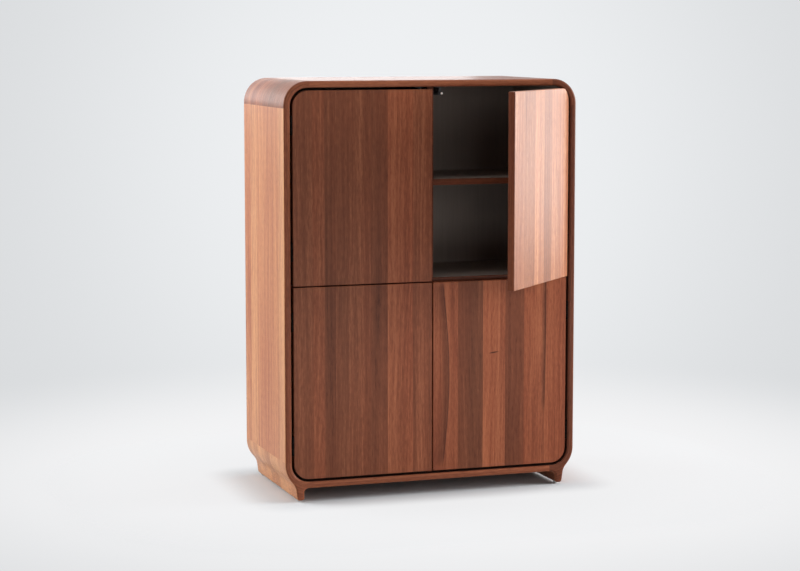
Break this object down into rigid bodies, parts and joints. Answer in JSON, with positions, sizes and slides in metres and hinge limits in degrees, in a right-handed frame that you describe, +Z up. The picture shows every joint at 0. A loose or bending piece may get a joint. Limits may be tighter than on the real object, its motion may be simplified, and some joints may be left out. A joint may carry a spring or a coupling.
{
  "type": "buffet cabinet",
  "caption": "Rounded walnut cabinet on skid runners, with inset handleless doors on butt hinges in their shadow gaps, push latches and shelves inside.",
  "frame": {"origin": "on the floor, under the middle of the case's footprint", "axes": "+X to the right as seen from the front, +Y from the doors to the back panel, +Z up"},
  "size_m": [1, 0.8251, 1.35],
  "materials": {
    "case_walnut": "oiled solid walnut, staves glued edge to edge",
    "door_walnut": "oiled solid walnut, upright staves",
    "lipping_walnut": "oiled solid walnut",
    "dark_interior": "dark matt lacquered board",
    "joinery_beech": "bare beech",
    "hinge_steel": "dark satin steel",
    "bright_steel": "bright zinc plated steel",
    "strike_steel": "satin steel",
    "latch_plastic": "dark grey moulded plastic",
    "magnet_nickel": "bright nickel",
    "glide_plastic": "pale grey plastic"
  },
  "bodies": {
    "case": {"back_panel": "dark_interior", "back_screws": "bright_steel", "bottom_panel": "case_walnut", "case_hinge_leaves": "hinge_steel", "case_leaf_screws": "hinge_steel", "corner_splines": "joinery_beech", "glide_screws": "bright_steel", "glides": "glide_plastic", "hinge_pins": "hinge_steel", "latch_housings": "latch_plastic", "latch_screws": "bright_steel", "left_runner": "case_walnut", "left_side_panel": "case_walnut", "lower_divider": "dark_interior", "lower_left_shelf": "dark_interior", "lower_right_shelf": "dark_interior", "middle_panel": "dark_interior", "panel_dowels": "joinery_beech", "panel_lippings": "lipping_walnut", "right_runner": "case_walnut", "right_side_panel": "case_walnut", "shelf_lippings": "lipping_walnut", "shelf_pegs": "bright_steel", "top_left_corner": "case_walnut", "top_panel": "case_walnut", "top_right_corner": "case_walnut", "upper_divider": "dark_interior", "upper_left_shelf": "dark_interior", "upper_right_shelf": "dark_interior"},
    "upper_left_door": {"upper_left_door": "door_walnut", "upper_left_strike": "strike_steel", "upper_left_hinge_leaves": "hinge_steel", "upper_left_leaf_screws": "hinge_steel"},
    "upper_left_plunger": {"upper_left_plunger": "latch_plastic", "upper_left_magnet": "magnet_nickel"},
    "upper_right_door": {"upper_right_door": "door_walnut", "upper_right_strike": "strike_steel", "upper_right_hinge_leaves": "hinge_steel", "upper_right_leaf_screws": "hinge_steel"},
    "upper_right_plunger": {"upper_right_plunger": "latch_plastic", "upper_right_magnet": "magnet_nickel"},
    "lower_left_door": {"lower_left_door": "door_walnut", "lower_left_strike": "strike_steel", "lower_left_hinge_leaves": "hinge_steel", "lower_left_leaf_screws": "hinge_steel"},
    "lower_left_plunger": {"lower_left_plunger": "latch_plastic", "lower_left_magnet": "magnet_nickel"},
    "lower_right_door": {"lower_right_door": "door_walnut", "lower_right_strike": "strike_steel", "lower_right_hinge_leaves": "hinge_steel", "lower_right_leaf_screws": "hinge_steel"},
    "lower_right_plunger": {"lower_right_plunger": "latch_plastic", "lower_right_magnet": "magnet_nickel"}
  },
  "joints": [
    {"name": "upper_left_hinge", "type": "hinge", "parent": "case", "child": "upper_left_door", "pos_m": [-0.474, -0.24, 1.0095], "axis": [0, 0, -1], "range_deg": [0, 95]},
    {"name": "upper_left_latch", "type": "slide", "parent": "case", "child": "upper_left_plunger", "axis": [0, -1, 0], "range_m": [0, 0.02]},
    {"name": "upper_right_hinge", "type": "hinge", "parent": "case", "child": "upper_right_door", "pos_m": [0.474, -0.24, 1.0095], "axis": [0, 0, 1], "range_deg": [-46, 49]},
    {"name": "upper_right_latch", "type": "slide", "parent": "case", "child": "upper_right_plunger", "axis": [0, -1, 0], "range_m": [-0.00968, 0.01032]},
    {"name": "lower_left_hinge", "type": "hinge", "parent": "case", "child": "lower_left_door", "pos_m": [-0.474, -0.24, 0.3845], "axis": [0, 0, -1], "range_deg": [0, 95]},
    {"name": "lower_left_latch", "type": "slide", "parent": "case", "child": "lower_left_plunger", "axis": [0, -1, 0], "range_m": [0, 0.02]},
    {"name": "lower_right_hinge", "type": "hinge", "parent": "case", "child": "lower_right_door", "pos_m": [0.474, -0.24, 0.3845], "axis": [0, 0, 1], "range_deg": [0, 95]},
    {"name": "lower_right_latch", "type": "slide", "parent": "case", "child": "lower_right_plunger", "axis": [0, -1, 0], "range_m": [0, 0.02]}
  ],
  "couplings": [
    {"joint": "upper_left_latch", "follows": "upper_left_hinge", "m_per_rad": 0.01206},
    {"joint": "upper_right_latch", "follows": "upper_right_hinge", "m_per_rad": 0.01206},
    {"joint": "lower_left_latch", "follows": "lower_left_hinge", "m_per_rad": 0.01206},
    {"joint": "lower_right_latch", "follows": "lower_right_hinge", "m_per_rad": 0.01206}
  ]
}
